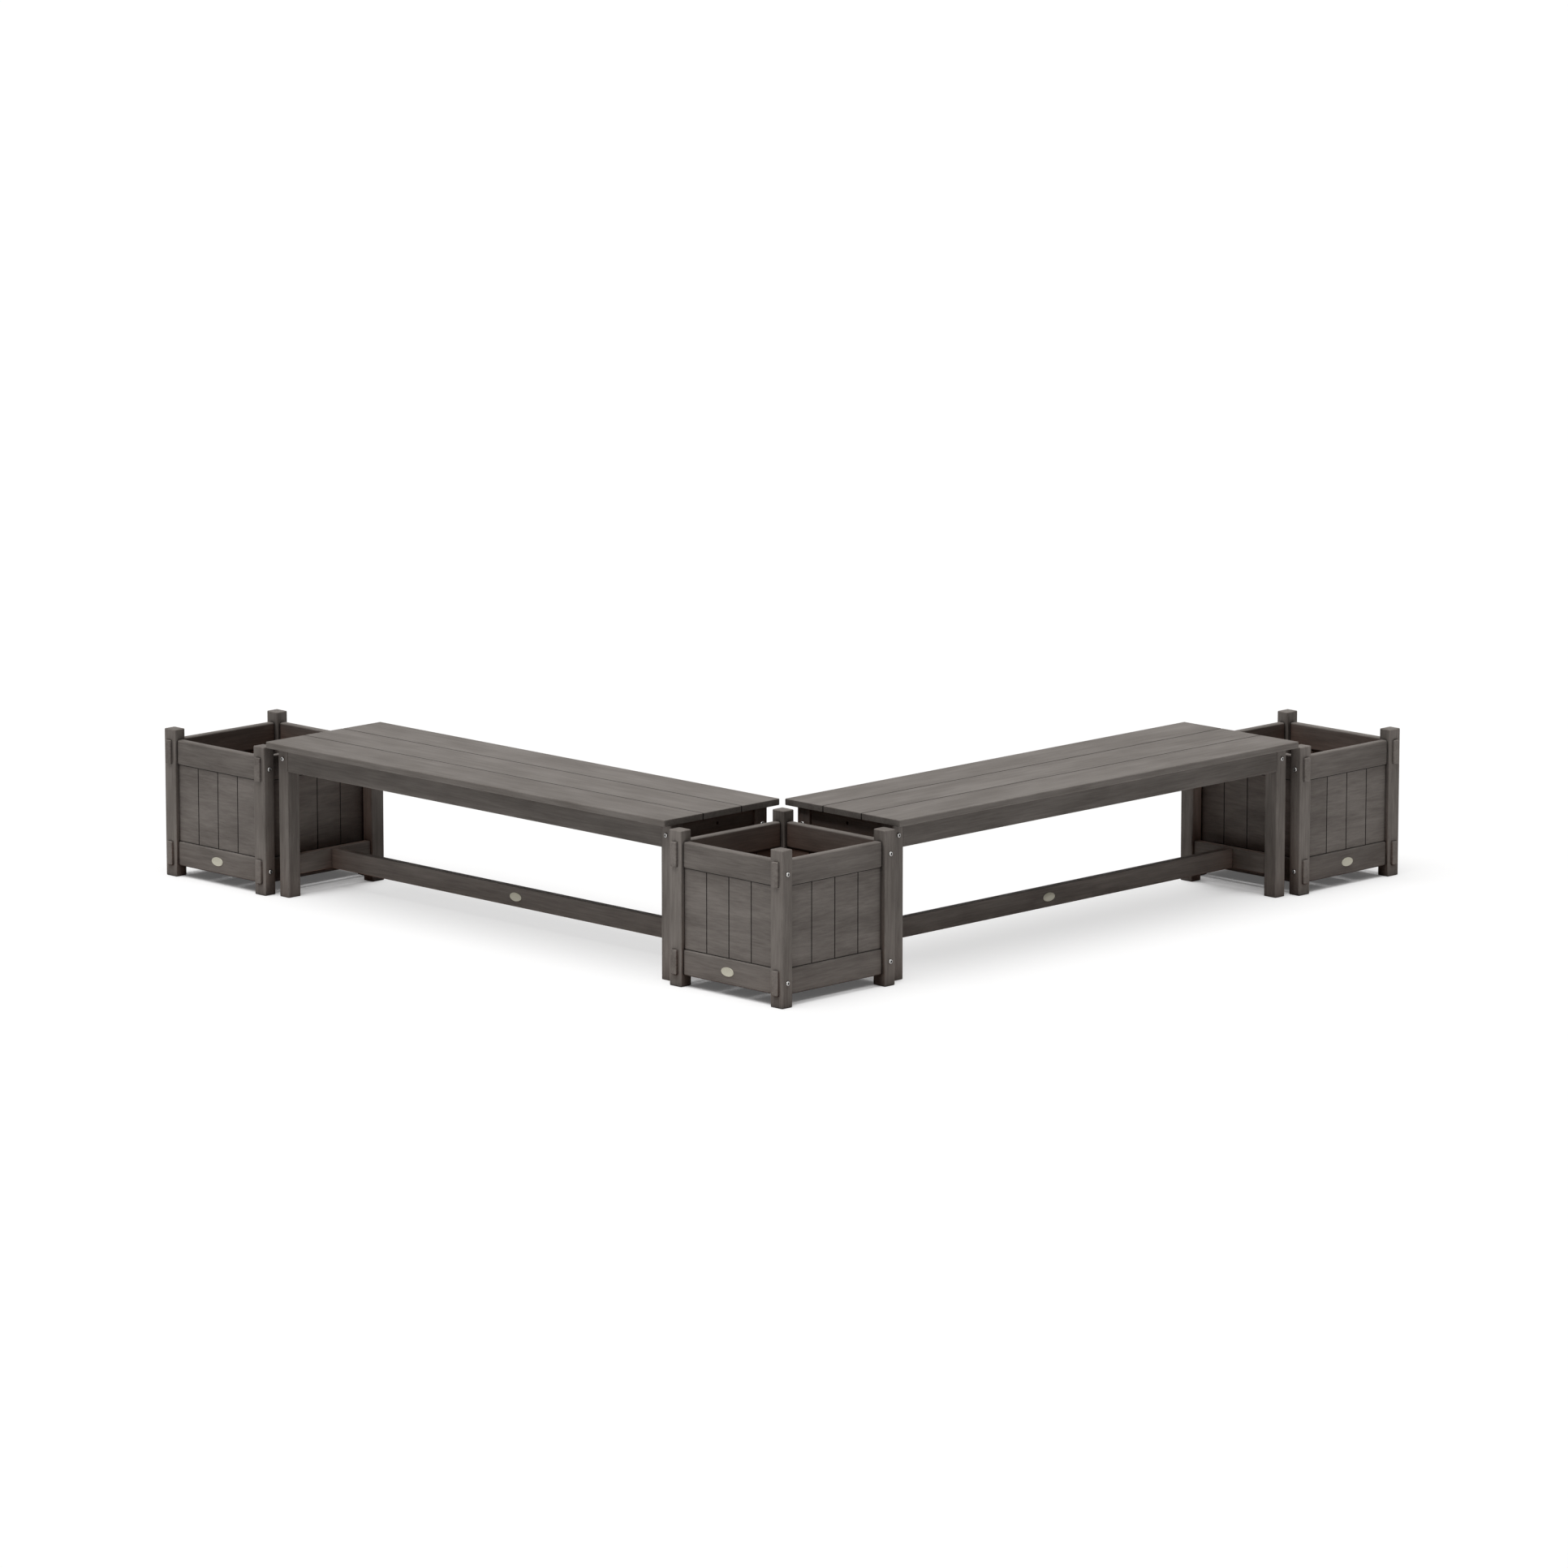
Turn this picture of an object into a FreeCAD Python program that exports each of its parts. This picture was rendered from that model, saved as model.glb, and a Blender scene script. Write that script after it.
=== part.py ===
import FreeCAD, Part
import os
import re
import Sketcher

# Corner set of two backless benches and three square planter boxes.
# All lengths are in millimetres.
# Plan: the corner planter stands at the low X, low Y corner. The right bench runs
# from it along X and the left bench along Y. Each has a planter at its far end, which
# stands flush with the bench's inner edge.

SIZES = {
    # square planter boxes
    "planter_side": 414.0,
    "rim_drop": 20.0,
    "post_wide": 44.0,
    "post_deep": 38.0,
    "post_edge": 4.5,
    "post_top_bevel": 2.5,
    "rail_thick": 22.0,
    "rail_height": 68.0,
    "rail_bevel": 3.0,
    "top_rail_drop": 29.0,
    "bottom_rail_clearance": 31.0,
    "tenon_proud": 7.5,
    "tenon_step": 1.0,
    "tenon_bevel": 2.0,
    "joint_play": 0.25,
    # slats let into grooves in the rails
    "slat_thick": 12.0,
    "slat_gap": 1.0,
    "slat_bevel": 1.5,
    "groove_depth": 8.0,
    "groove_end_play": 0.5,
    # planter floor
    "floor_thick": 12.0,
    "floor_gap": 6.0,
    "floor_side_play": 1.0,
    "floor_lift": 14.0,
    "floor_bevel": 1.5,
    # bench seat
    "seat_length": 1554.5,
    "seat_height": 432.0,
    "seat_board_wide": 139.5,
    "seat_board_thick": 18.0,
    "seat_board_gap": 1.0,
    "seat_edge": 3.0,
    "end_overhang": 11.0,
    "side_overhang": 34.5,
    # bench legs and aprons
    "leg_wide": 44.0,
    "leg_deep": 38.0,
    "leg_edge": 4.5,
    "apron_height": 64.0,
    "long_apron_thick": 34.0,
    "long_apron_setback": 1.5,
    "end_apron_thick": 22.0,
    "apron_bevel": 1.5,
    # bench stretchers
    "stretcher_height": 55.0,
    "stretcher_thick": 22.0,
    "stretcher_clearance": 59.0,
    "stretcher_bevel": 2.0,
    "stub_length": 15.0,
    "long_stub_length": 12.0,
    "stub_step": 4.0,
    # supports under the seat boards
    "centre_rail_height": 42.0,
    "centre_rail_thick": 22.0,
    "batten_wide": 42.0,
    "batten_thick": 22.0,
    # button-head screws, of which only the heads are modelled
    "screw_head": 12.5,
    "screw_head_height": 3.5,
    "screw_head_bevel": 2.0,
    "leg_screw_up": 30.0,
    "apron_screw_up": 43.0,
    "apron_screw_in": 20.5,
    # the units stand this far apart
    "unit_gap": 16.0,
    # a cutting box runs this far past the face that it opens
    "cut_past": 1.0,
}
SLATS_PER_SIDE = 4
FLOOR_BOARDS = 3
SEAT_BOARDS = ("front", "middle", "back")
BATTENS = 3
SCREW_HEAD_SIDES = 8

# How far two points may lie apart and count as one, and the side of the square that
# a board's outline is drawn as before its formulas give it its real sides.
SAME_PLACE = 0.000001
DRAWN_SIDE = 10.0

document = FreeCAD.newDocument("bench_with_planter")
sheet = document.addObject("Spreadsheet::Sheet", "Sizes")
for row, (alias, size) in enumerate(SIZES.items(), start=1):
    sheet.set("A%d" % row, alias)
    sheet.set("B%d" % row, str(size))
    sheet.setAlias("B%d" % row, alias)
document.recompute()

# Lengths that several pieces share, written with the names in the sheet.
PLANTER_HEIGHT = "(seat_height - rim_drop)"
CLEAR_X = "(planter_side - 2 * post_deep)"
CLEAR_Y = "(planter_side - 2 * post_wide)"
TOP_RAIL_Z = "(%s - top_rail_drop - rail_height)" % PLANTER_HEIGHT
BOTTOM_RAIL_Z = "(bottom_rail_clearance)"
X_RAIL_INSET = "((post_wide - rail_thick) / 2)"
Y_RAIL_INSET = "((post_deep - rail_thick) / 2)"
TENON_THICK = "(rail_thick - 2 * tenon_step)"
TENON_HEIGHT = "(rail_height - 2 * tenon_step)"
TENON_REACH = "(post_deep + tenon_proud)"
TONGUE = "(groove_depth - groove_end_play)"
SEAT_WIDE = "(%d * (seat_board_wide + seat_board_gap) - seat_board_gap)" % len(SEAT_BOARDS)
LEG_TOP = "(seat_height - seat_board_thick)"
LEG_SPAN_X = "(seat_length - 2 * end_overhang - 2 * leg_deep)"
LEG_SPAN_Y = "(%s - 2 * side_overhang - 2 * leg_wide)" % SEAT_WIDE
END_BOARD_INSET = "((leg_deep - end_apron_thick) / 2)"
STRETCHER_INSET = "((leg_deep - stretcher_thick) / 2)"
INNER_APRON_FACE = "(side_overhang + long_apron_setback + long_apron_thick)"
BENCH_START = "(planter_side + unit_gap)"
END_PLANTER_START = "(planter_side + 2 * unit_gap + seat_length)"
END_PLANTER_SHIFT = "(%s - planter_side)" % SEAT_WIDE
CENTRE_X = "((%s + planter_side + screw_head_height - tenon_proud) / 2)" % END_PLANTER_START
CENTRE_Y = "((%s + planter_side) / 2)" % END_PLANTER_START


def formula(text):
    """Point each size's name in a formula at its cell in the sheet."""
    return re.sub(r"[a-z_]+", lambda word: "Sizes." + word.group(), text)


def bind(item, **formulas):
    """Tie properties of an object to formulas in the sheet's sizes."""
    for name, text in formulas.items():
        item.setExpression(name.replace("__", "."), formula(text))


def origin_plane(body, role):
    return next(plane for plane in body.Origin.OriginFeatures if plane.Role == role)


def edges_along(shape, axis):
    """Names of the straight edges that run along x, y or z."""
    names = []
    for number, edge in enumerate(shape.Edges, start=1):
        first, last = edge.Vertexes[0].Point, edge.Vertexes[-1].Point
        across = last - first
        along = abs(getattr(across, axis))
        if across.Length > SAME_PLACE and across.Length - along < SAME_PLACE:
            names.append("Edge%d" % number)
    return names


def block(name, x, y, z):
    """A body padded from a rectangle, x by y by z, with its corner at its origin."""
    body = document.addObject("PartDesign::Body", name)
    sketch = body.newObject("Sketcher::SketchObject", name + "_outline")
    sketch.AttachmentSupport = [(origin_plane(body, "XY_Plane"), "")]
    sketch.MapMode = "FlatFace"
    drawn = ((0, 0), (DRAWN_SIDE, 0), (DRAWN_SIDE, DRAWN_SIDE), (0, DRAWN_SIDE))
    corners = [FreeCAD.Vector(*point) for point in drawn]
    for number, corner in enumerate(corners):
        sketch.addGeometry(Part.LineSegment(corner, corners[(number + 1) % 4]))
    for number in range(4):
        sketch.addConstraint(Sketcher.Constraint("Coincident", number, 2, (number + 1) % 4, 1))
    for number, direction in enumerate(("Horizontal", "Vertical", "Horizontal", "Vertical")):
        sketch.addConstraint(Sketcher.Constraint(direction, number))
    sketch.addConstraint(Sketcher.Constraint("Coincident", 0, 1, -1, 1))
    width = sketch.addConstraint(Sketcher.Constraint("DistanceX", 0, 1, 0, 2, DRAWN_SIDE))
    depth = sketch.addConstraint(Sketcher.Constraint("DistanceY", 1, 1, 1, 2, DRAWN_SIDE))
    sketch.setExpression("Constraints[%d]" % width, formula(x))
    sketch.setExpression("Constraints[%d]" % depth, formula(y))
    pad = body.newObject("PartDesign::Pad", name + "_length")
    pad.Profile = sketch
    bind(pad, Length=z)
    document.recompute()
    return body


def dress(body, kind, suffix, size, edges):
    """Fillet or chamfer the named edges of the body's last feature."""
    base = body.Tip
    feature = body.newObject("PartDesign::" + kind, body.Name + suffix)
    feature.Base = (base, edges)
    bind(feature, **{"Radius" if kind == "Fillet" else "Size": size})
    document.recompute()


def bevel_all(body, size):
    """Break every edge of a board, as a planed timber has them."""
    names = ["Edge%d" % number for number in range(1, len(body.Tip.Shape.Edges) + 1)]
    dress(body, "Chamfer", "_bevel", size, names)


def round_along(body, axis, radius):
    """Round the four long edges that run along one axis."""
    dress(body, "Fillet", "_round", radius, edges_along(body.Tip.Shape, axis))


def bevel_top(body, size):
    """Break the edges round the top of an upright piece."""
    shape = body.Tip.Shape
    top = shape.BoundBox.ZMax
    names = []
    for number, edge in enumerate(shape.Edges, start=1):
        if min(vertex.Point.z for vertex in edge.Vertexes) > top - SAME_PLACE:
            names.append("Edge%d" % number)
    dress(body, "Chamfer", "_top", size, names)


def box_feature(body, kind, suffix, corner, size):
    """Add or cut a box whose corner and size are formulas."""
    feature = body.newObject("PartDesign::%sBox" % kind, body.Name + suffix)
    length, width, height = size
    x, y, z = corner
    bind(feature, Length=length, Width=width, Height=height)
    bind(feature, Placement__Base__x=x, Placement__Base__y=y, Placement__Base__z=z)
    document.recompute()
    return feature


class Unit:
    """A bench or planter: where its own origin lies in the plan, and if it is turned."""

    def __init__(self, name, plan_x, plan_y, turned, width):
        self.name = name
        self.plan = (plan_x, plan_y)
        self.turned = turned
        self.width = width
        self.screw_heads = []

    def place(self, item, x, y, z, facing=(0, 0, 1)):
        """Seat a piece at a point given in the unit's own frame, with its top facing a way."""
        plan_x, plan_y = self.plan
        up = FreeCAD.Vector(0, 0, 1)
        turn = FreeCAD.Rotation(up, 90 if self.turned else 0)
        tilt = FreeCAD.Rotation(up, FreeCAD.Vector(*facing))
        item.Placement = FreeCAD.Placement(FreeCAD.Vector(), turn * tilt)
        if self.turned:
            spot_x = "%s + %s - (%s)" % (plan_x, self.width, y)
            spot_y = "%s + %s" % (plan_y, x)
        else:
            spot_x = "%s + %s" % (plan_x, x)
            spot_y = "%s + %s" % (plan_y, y)
        bind(
            item,
            Placement__Base__x="%s - %s" % (spot_x, CENTRE_X),
            Placement__Base__y="%s - %s" % (spot_y, CENTRE_Y),
            Placement__Base__z=z,
        )
        return item


nodes = []


def keep(item, label):
    """Mark a finished piece, or a group of like pieces, as a node of its own."""
    item.Label = label
    nodes.append(item)


def group(label, members):
    """Hold like pieces together in one node, as separate solids."""
    compound = document.addObject("Part::Compound", label)
    compound.Links = members
    keep(compound, label)


def slat_run(unit, along_x, low):
    """The slats of one side, standing in the grooves of its two rails."""
    span = CLEAR_X if along_x else CLEAR_Y
    post = "post_deep" if along_x else "post_wide"
    inset = X_RAIL_INSET if along_x else Y_RAIL_INSET
    depth = "%s + (rail_thick - slat_thick) / 2" % inset
    if not low:
        depth = "planter_side - (%s) - slat_thick" % depth
    foot = "%s + rail_height - %s" % (BOTTOM_RAIL_Z, TONGUE)
    height = "%s + %s - (%s)" % (TOP_RAIL_Z, TONGUE, foot)
    pitch = "%s / %d" % (span, SLATS_PER_SIDE)
    width = "%s - slat_gap" % pitch
    side = "%s_%s" % ("low" if low else "high", "y" if along_x else "x")
    slats = []
    for number in range(SLATS_PER_SIDE):
        name = "%s_%s_slat_%d" % (unit.name, side, number + 1)
        start = "%s + %s * %d + slat_gap / 2" % (post, pitch, number)
        if along_x:
            slat = block(name, width, "slat_thick", height)
            unit.place(slat, start, depth, foot)
        else:
            slat = block(name, "slat_thick", width, height)
            unit.place(slat, depth, start, foot)
        dress(slat, "Chamfer", "_bevel", "slat_bevel", edges_along(slat.Tip.Shape, "z"))
        slats.append(slat)
    return slats


def tenoned_rail(unit, level, low):
    """A rail along X whose tenons pass through both posts and stand proud of them."""
    name = "%s_%s_tenoned_rail_%s" % (unit.name, level, "low" if low else "high")
    rail = block(name, CLEAR_X, "rail_thick", "rail_height")
    bevel_all(rail, "rail_bevel")
    box_feature(
        rail, "Additive", "_tenons",
        ("-%s" % TENON_REACH, "tenon_step", "tenon_step"),
        ("%s + 2 * %s" % (CLEAR_X, TENON_REACH), TENON_THICK, TENON_HEIGHT),
    )
    break_tenon_ends(rail)
    cut_slat_groove(rail, level, along_x=True)
    y = X_RAIL_INSET if low else "planter_side - %s - rail_thick" % X_RAIL_INSET
    unit.place(rail, "post_deep", y, rail_level(level))
    return rail


def break_tenon_ends(rail):
    """Break the edges round the proud end faces of the two tenons."""
    box = rail.Tip.Shape.BoundBox
    ends = []
    for number, edge in enumerate(rail.Tip.Shape.Edges, start=1):
        places = [vertex.Point.x for vertex in edge.Vertexes]
        if max(places) < box.XMin + SAME_PLACE or min(places) > box.XMax - SAME_PLACE:
            ends.append("Edge%d" % number)
    dress(rail, "Chamfer", "_tenon_ends", "tenon_bevel", ends)


def cut_slat_groove(rail, level, along_x):
    """Plough the groove that holds the slats, in a rail's inner edge."""
    across = "(rail_thick - slat_thick) / 2 - joint_play"
    width = "slat_thick + 2 * joint_play"
    z = "0" if level == "top" else "rail_height - groove_depth"
    if along_x:
        box_feature(rail, "Subtractive", "_groove", ("0", across, z), (CLEAR_X, width, "groove_depth"))
    else:
        box_feature(rail, "Subtractive", "_groove", (across, "0", z), (width, CLEAR_Y, "groove_depth"))


def rail_level(level):
    return TOP_RAIL_Z if level == "top" else BOTTOM_RAIL_Z


def butted_rail(unit, level, low):
    """A rail along Y that butts between two posts and is screwed through them."""
    name = "%s_%s_butted_rail_%s" % (unit.name, level, "low" if low else "high")
    rail = block(name, "rail_thick", CLEAR_Y, "rail_height")
    bevel_all(rail, "rail_bevel")
    cut_slat_groove(rail, level, along_x=False)
    if level == "bottom":
        inner = "rail_thick - groove_depth" if low else "0"
        box_feature(
            rail, "Subtractive", "_floor_groove",
            (inner, "0", "floor_lift - joint_play"),
            ("groove_depth", CLEAR_Y, "floor_thick + 2 * joint_play"),
        )
    x = Y_RAIL_INSET if low else "planter_side - %s - rail_thick" % Y_RAIL_INSET
    unit.place(rail, x, "post_wide", rail_level(level))
    return rail


def screw_head(unit, x, y, z, facing):
    """A domed head, seated on a face at a point, made with flat facets."""
    name = "%s_screw_head_%d" % (unit.name, len(unit.screw_heads) + 1)
    body = document.addObject("PartDesign::Body", name)
    prism = body.newObject("PartDesign::AdditivePrism", body.Name + "_prism")
    prism.Polygon = SCREW_HEAD_SIDES
    bind(prism, Circumradius="screw_head / 2", Height="screw_head_height")
    document.recompute()
    bevel_top(body, "screw_head_bevel")
    unit.place(body, x, y, z, facing)
    unit.screw_heads.append(body)


def planter_post(unit, label, high_x, high_y):
    """A corner post with a through mortise for the tenon of each level."""
    post = block("%s_%s" % (unit.name, label), "post_deep", "post_wide", PLANTER_HEIGHT)
    round_along(post, "z", "post_edge")
    bevel_top(post, "post_top_bevel")
    for level in ("top", "bottom"):
        box_feature(
            post, "Subtractive", "_%s_mortise" % level,
            ("-cut_past", "%s + tenon_step - joint_play" % X_RAIL_INSET,
             "%s + tenon_step - joint_play" % rail_level(level)),
            ("post_deep + 2 * cut_past", "%s + 2 * joint_play" % TENON_THICK,
             "%s + 2 * joint_play" % TENON_HEIGHT),
        )
    x = "planter_side - post_deep" if high_x else "0"
    y = "planter_side - post_wide" if high_y else "0"
    unit.place(post, x, y, "0")
    keep(post, "%s_%s" % (unit.name, label))
    face = "planter_side" if high_y else "0"
    for level in ("top", "bottom"):
        middle = "%s + rail_height / 2" % rail_level(level)
        screw_head(unit, "%s + post_deep / 2" % x, face, middle, (0, 1 if high_y else -1, 0))


def floor_run(unit):
    """Floor boards let into the bottom butted rails, with drainage gaps between."""
    start = "%s + rail_thick - %s" % (Y_RAIL_INSET, TONGUE)
    length = "planter_side - 2 * (%s)" % start
    free = "(%s - 2 * floor_side_play + floor_gap)" % CLEAR_Y
    boards = []
    for number in range(FLOOR_BOARDS):
        name = "%s_floor_board_%d" % (unit.name, number + 1)
        board = block(name, length, "%s / %d - floor_gap" % (free, FLOOR_BOARDS), "floor_thick")
        dress(board, "Chamfer", "_bevel", "floor_bevel", edges_along(board.Tip.Shape, "x"))
        y = "post_wide + floor_side_play + %s * %d / %d" % (free, number, FLOOR_BOARDS)
        unit.place(board, start, y, "%s + floor_lift" % BOTTOM_RAIL_Z)
        boards.append(board)
    return boards


def planter(unit):
    """Four posts, eight rails, four sides of slats and a floor.

    The posts are named as seen from outside the set's own corner.
    """
    labels = ["front_post", "right_post", "left_post", "back_post"]
    if unit.turned:
        labels = ["right_post", "back_post", "front_post", "left_post"]
    corners = ((False, False), (True, False), (False, True), (True, True))
    for label, (high_x, high_y) in zip(labels, corners):
        planter_post(unit, label, high_x, high_y)
    places = [(level, low) for level in ("top", "bottom") for low in (True, False)]
    group(unit.name + "_tenoned_rails", [tenoned_rail(unit, *place) for place in places])
    group(unit.name + "_butted_rails", [butted_rail(unit, *place) for place in places])
    slats = []
    for low in (True, False):
        slats += slat_run(unit, along_x=True, low=low)
        slats += slat_run(unit, along_x=False, low=low)
    group(unit.name + "_slats", slats)
    group(unit.name + "_floor_boards", floor_run(unit))
    group(unit.name + "_screw_heads", unit.screw_heads)


def seat(unit):
    """Three full-length boards side by side, with eased edges."""
    order = SEAT_BOARDS[::-1] if unit.turned else SEAT_BOARDS
    for number, place in enumerate(order):
        label = "%s_seat_board_%s" % (unit.name, place)
        board = block(label, "seat_length", "seat_board_wide", "seat_board_thick")
        round_along(board, "x", "seat_edge")
        unit.place(board, "0", "(seat_board_wide + seat_board_gap) * %d" % number, LEG_TOP)
        keep(board, label)


def end_leg_x(far_end):
    return "seat_length - end_overhang - leg_deep" if far_end else "end_overhang"


def bench_leg(unit, end, side, far_end, far_side):
    """A leg with a blind mortise for the end stretcher's stub tenon."""
    label = "%s_%s_%s_leg" % (unit.name, end, side)
    leg = block(label, "leg_deep", "leg_wide", LEG_TOP)
    round_along(leg, "z", "leg_edge")
    mortise_y = "-cut_past" if far_side else "leg_wide - stub_length - joint_play"
    box_feature(
        leg, "Subtractive", "_mortise",
        ("%s + stub_step - joint_play" % STRETCHER_INSET, mortise_y,
         "stretcher_clearance + stub_step - joint_play"),
        ("stretcher_thick - 2 * (stub_step - joint_play)", "stub_length + joint_play + cut_past",
         "stretcher_height - 2 * (stub_step - joint_play)"),
    )
    x = end_leg_x(far_end)
    y = "%s - side_overhang - leg_wide" % SEAT_WIDE if far_side else "side_overhang"
    unit.place(leg, x, y, "0")
    keep(leg, label)
    face = "%s + leg_wide" % y if far_side else y
    screw_head(unit, "%s + leg_deep / 2" % x, face, "%s - leg_screw_up" % LEG_TOP,
               (0, 1 if far_side else -1, 0))
    face = "%s + leg_deep" % x if far_end else x
    inward = "%s + leg_wide - apron_screw_in" % y if far_side else "%s + apron_screw_in" % y
    screw_head(unit, face, inward, "%s - apron_screw_up" % LEG_TOP, (1 if far_end else -1, 0, 0))


def long_apron(unit, side, far_side):
    """The rail under the seat's long edge, between two legs."""
    label = "%s_%s_apron" % (unit.name, side)
    apron = block(label, LEG_SPAN_X, "long_apron_thick", "apron_height")
    dress(apron, "Chamfer", "_bevel", "apron_bevel", edges_along(apron.Tip.Shape, "x"))
    y = "side_overhang + long_apron_setback"
    if far_side:
        y = "%s - (%s) - long_apron_thick" % (SEAT_WIDE, y)
    unit.place(apron, "end_overhang + leg_deep", y, "%s - apron_height" % LEG_TOP)
    keep(apron, label)


def end_apron(unit, end, far_end):
    """The short rail under the seat between the two legs of one end."""
    apron = block("%s_%s_end_apron" % (unit.name, end), "end_apron_thick", LEG_SPAN_Y, "apron_height")
    dress(apron, "Chamfer", "_bevel", "apron_bevel", edges_along(apron.Tip.Shape, "y"))
    unit.place(apron, "%s + %s" % (end_leg_x(far_end), END_BOARD_INSET), "side_overhang + leg_wide",
               "%s - apron_height" % LEG_TOP)
    return apron


def end_stretcher(unit, end, far_end):
    """The low rail between the two legs of one end, mortised for the long stretcher."""
    label = "%s_%s_end_stretcher" % (unit.name, end)
    stretcher = block(label, "stretcher_thick", LEG_SPAN_Y, "stretcher_height")
    dress(stretcher, "Chamfer", "_bevel", "stretcher_bevel", edges_along(stretcher.Tip.Shape, "y"))
    box_feature(
        stretcher, "Additive", "_stubs",
        ("stub_step", "-stub_length", "stub_step"),
        ("stretcher_thick - 2 * stub_step", "%s + 2 * stub_length" % LEG_SPAN_Y,
         "stretcher_height - 2 * stub_step"),
    )
    box_feature(
        stretcher, "Subtractive", "_mortise",
        ("-cut_past" if far_end else "stretcher_thick - long_stub_length - joint_play",
         "%s / 2 - stretcher_thick / 2 + stub_step - joint_play" % LEG_SPAN_Y,
         "stub_step - joint_play"),
        ("long_stub_length + joint_play + cut_past",
         "stretcher_thick - 2 * (stub_step - joint_play)",
         "stretcher_height - 2 * (stub_step - joint_play)"),
    )
    unit.place(stretcher, "%s + %s" % (end_leg_x(far_end), STRETCHER_INSET),
               "side_overhang + leg_wide", "stretcher_clearance")
    keep(stretcher, label)


def long_stretcher(unit):
    """The low rail from one end stretcher to the other, with a stub tenon at each end."""
    label = unit.name + "_long_stretcher"
    start = "(end_overhang + %s + stretcher_thick)" % STRETCHER_INSET
    length = "(seat_length - 2 * %s)" % start
    stretcher = block(label, length, "stretcher_thick", "stretcher_height")
    dress(stretcher, "Chamfer", "_bevel", "stretcher_bevel", edges_along(stretcher.Tip.Shape, "x"))
    box_feature(
        stretcher, "Additive", "_stubs",
        ("-long_stub_length", "stub_step", "stub_step"),
        ("%s + 2 * long_stub_length" % length, "stretcher_thick - 2 * stub_step",
         "stretcher_height - 2 * stub_step"),
    )
    unit.place(stretcher, start, "(%s - stretcher_thick) / 2" % SEAT_WIDE, "stretcher_clearance")
    keep(stretcher, label)


def seat_supports(unit):
    """A rail under the middle board, notched for battens that carry all three boards."""
    label = unit.name + "_centre_rail"
    start = "(end_overhang + %s + end_apron_thick)" % END_BOARD_INSET
    length = "(seat_length - 2 * %s)" % start
    rail = block(label, length, "centre_rail_thick", "centre_rail_height")
    battens = []
    reach = "%s - 2 * %s" % (SEAT_WIDE, INNER_APRON_FACE)
    for number in range(BATTENS):
        along = "%s * %d / %d - batten_wide / 2" % (length, number + 1, BATTENS + 1)
        box_feature(
            rail, "Subtractive", "_notch_%d" % (number + 1),
            ("%s - joint_play" % along, "-cut_past", "centre_rail_height - batten_thick"),
            ("batten_wide + 2 * joint_play", "centre_rail_thick + 2 * cut_past",
             "batten_thick + cut_past"),
        )
        batten = block("%s_batten_%d" % (unit.name, number + 1), "batten_wide", reach, "batten_thick")
        unit.place(batten, "%s + %s" % (start, along), INNER_APRON_FACE, "%s - batten_thick" % LEG_TOP)
        battens.append(batten)
    unit.place(rail, start, "(%s - centre_rail_thick) / 2" % SEAT_WIDE,
               "%s - centre_rail_height" % LEG_TOP)
    keep(rail, label)
    group(unit.name + "_seat_battens", battens)


def bench(unit):
    """Seat boards on aprons and four legs, braced low down by three stretchers."""
    sides = ("back", "front") if unit.turned else ("front", "back")
    ends = (("inner", False), ("outer", True))
    seat(unit)
    for end, far_end in ends:
        for side, far_side in zip(sides, (False, True)):
            bench_leg(unit, end, side, far_end, far_side)
        end_stretcher(unit, end, far_end)
    for side, far_side in zip(sides, (False, True)):
        long_apron(unit, side, far_side)
    group(unit.name + "_end_aprons", [end_apron(unit, end, far_end) for end, far_end in ends])
    long_stretcher(unit)
    seat_supports(unit)
    group(unit.name + "_screw_heads", unit.screw_heads)


def faults():
    """Name every object that failed and every node that isn't a sound solid."""
    found = []
    for item in document.Objects:
        if "Invalid" in item.State or "Error" in item.State:
            found.append("%s: %s" % (item.Name, item.State))
    for node in nodes:
        if node.Shape.isNull() or not node.Shape.isValid() or not node.Shape.Solids:
            found.append("%s: not a valid solid" % node.Label)
    return found


planter(Unit("corner_planter", "0", "0", False, "planter_side"))
planter(Unit("right_planter", END_PLANTER_START, END_PLANTER_SHIFT, True, "planter_side"))
planter(Unit("left_planter", END_PLANTER_SHIFT, END_PLANTER_START, False, "planter_side"))
bench(Unit("right_bench", BENCH_START, "0", False, SEAT_WIDE))
bench(Unit("left_bench", "0", BENCH_START, True, SEAT_WIDE))
document.recompute()

problems = faults()
if problems:
    raise RuntimeError("; ".join(problems))
os.makedirs("parts", exist_ok=True)
for node in nodes:
    node.Shape.exportStep("parts/%s.step" % node.Label)
print("%d nodes, %d solids" % (len(nodes), sum(len(node.Shape.Solids) for node in nodes)))
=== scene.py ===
import math
import random

import bmesh
import bpy
from mathutils import Matrix, Vector


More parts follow.
